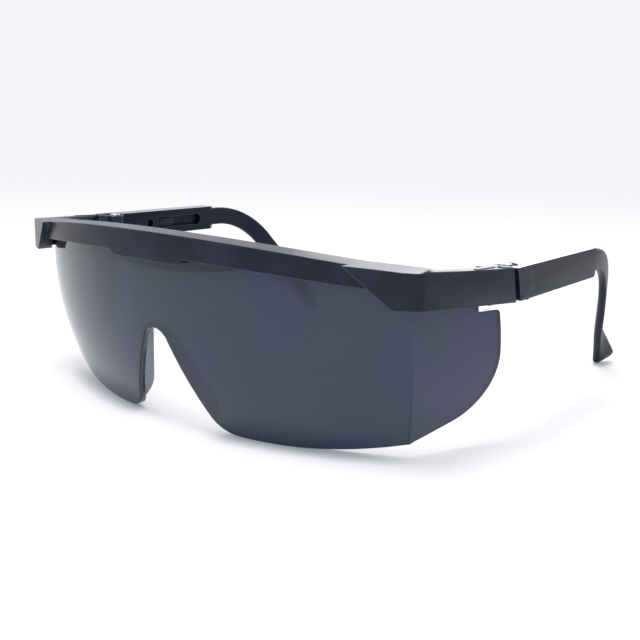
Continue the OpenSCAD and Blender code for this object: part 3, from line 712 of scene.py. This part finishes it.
# Table and studio: white card that turns into a pale surround farther off, with a faint painted
# shadow where the glasses come close to it. Three round lamps: the strongest above and a little in
# front, a wide one low behind, and a weaker one on the wearer's right. Lengths are in metres.
FAR_WHITE = (0.905, 0.913, 0.947)
NEAR_WHITE = (0.90, 0.90, 0.91)
PAINTED_SHADOW_GREY, CONTACT_REACH = (0.40, 0.41, 0.46), 0.007
HALF_TABLE = 3.0
SKY, SKY_STRENGTH = (0.84, 0.90, 1.0), 0.7


def seen_directly(tree):
    """1 for rays from the camera, a mirror or clear plastic, 0 for light that falls on things."""
    rays = tree.node("ShaderNodeLightPath", {}, {})
    camera_or_mirror = rays.out("Is Camera Ray").most(rays.out("Is Glossy Ray"))
    return camera_or_mirror.most(rays.out("Is Transmission Ray"))


signs = ((-1, -1), (1, -1), (1, 1), (-1, 1))
sheet = bpy.data.meshes.new("table")
sheet.from_pydata([(x * HALF_TABLE, y * HALF_TABLE, 0) for x, y in signs], [], [(0, 1, 2, 3)])
table = bpy.data.objects.new("table", sheet)
bpy.context.scene.collection.objects.link(table)
card = Finish("white_card", Roughness=0.7)
card.set(Base_Color=(*NEAR_WHITE, 1))
away = card.node("ShaderNodeVectorMath", {"operation": "LENGTH"}, {0: card.place}).out("Value")
sheen = card.blend(away.above(edge=0.6, width=0.7), (1.0, 1.0, 1.0), FAR_WHITE)
# Painted shadow: the card's glow turns grey where an occlusion test finds the glasses close by
contact = card.node("ShaderNodeAmbientOcclusion", {"samples": 12}, {
    "Distance": CONTACT_REACH}).out("AO")
glow = card.blend((1.0 - contact).above(edge=0.3, width=0.5), sheen, PAINTED_SHADOW_GREY)
pale = card.node("ShaderNodeEmission", {}, {"Color": glow, "Strength": 1.0})
veil = card.node("ShaderNodeMixShader", {}, {
    0: (0.5 + 0.5 * away.above(edge=0.4, width=0.5)) * seen_directly(card),
    1: Link(card, card.shader.outputs[0]), 2: pale.out(0)})
card.join(card.nodes["Material Output"].inputs["Surface"], veil.out(0))
table.data.materials.append(card.material)

world = bpy.data.worlds.new("surround")
world.use_nodes = True
bpy.context.scene.world = world
sky = Tree(world.node_tree)
ambient = sky.nodes["Background"]
ambient.inputs["Color"].default_value = (*SKY, 1)
ambient.inputs["Strength"].default_value = SKY_STRENGTH
white = sky.node("ShaderNodeBackground", {}, {"Color": (*FAR_WHITE, 1), "Strength": 1.0})
seen = sky.node("ShaderNodeMixShader", {}, {
    0: seen_directly(sky), 1: Link(sky, ambient.outputs[0]), 2: white.out(0)})
sky.join(sky.nodes["World Output"].inputs["Surface"], seen.out(0))

for name, place, aim, size, power in (
        ("top_lamp", (0.0, -0.24, 0.87), (0, -0.05, 0.03), 0.3, 6.0),
        ("rear_lamp", (-0.30, 0.945, 0.27), (0, 0, 0.04), 0.7, 2.2),
        ("left_lamp", (-0.9, -0.3, 0.5), (0, 0, 0.03), 0.5, 1.5)):
    lamp = bpy.data.lights.new(name, "AREA")
    lamp.shape, lamp.size, lamp.energy = "DISK", size, power
    holder = bpy.data.objects.new(name, lamp)
    holder.location = place
    holder.visible_camera = False
    holder.rotation_mode = "QUATERNION"
    holder.rotation_quaternion = (Vector(aim) - Vector(place)).to_track_quat("-Z", "Y")
    bpy.context.scene.collection.objects.link(holder)

# Camera: in front on the wearer's left and a little above, at the photograph's viewing angle
CAMERA_ROLL = 1.604
camera_place = Vector((167.19, APEX_Y - 150.30, 80.80)) * MM
camera_aim = Vector((20.56, APEX_Y + 44.60, 25.86)) * MM
camera_data = bpy.data.cameras.new("camera")
camera_data.lens, camera_data.sensor_width = 49.75, 36.0
camera_data.clip_start, camera_data.clip_end = 0.01, 20.0
camera = bpy.data.objects.new("camera", camera_data)
camera.location = camera_place
camera.rotation_mode = "QUATERNION"
camera.rotation_quaternion = ((camera_aim - camera_place).to_track_quat("-Z", "Y")
                              @ Quaternion((0, 0, 1), radians(CAMERA_ROLL)))
bpy.context.scene.collection.objects.link(camera)
bpy.context.scene.camera = camera
bpy.context.scene.view_settings.view_transform = "Standard"
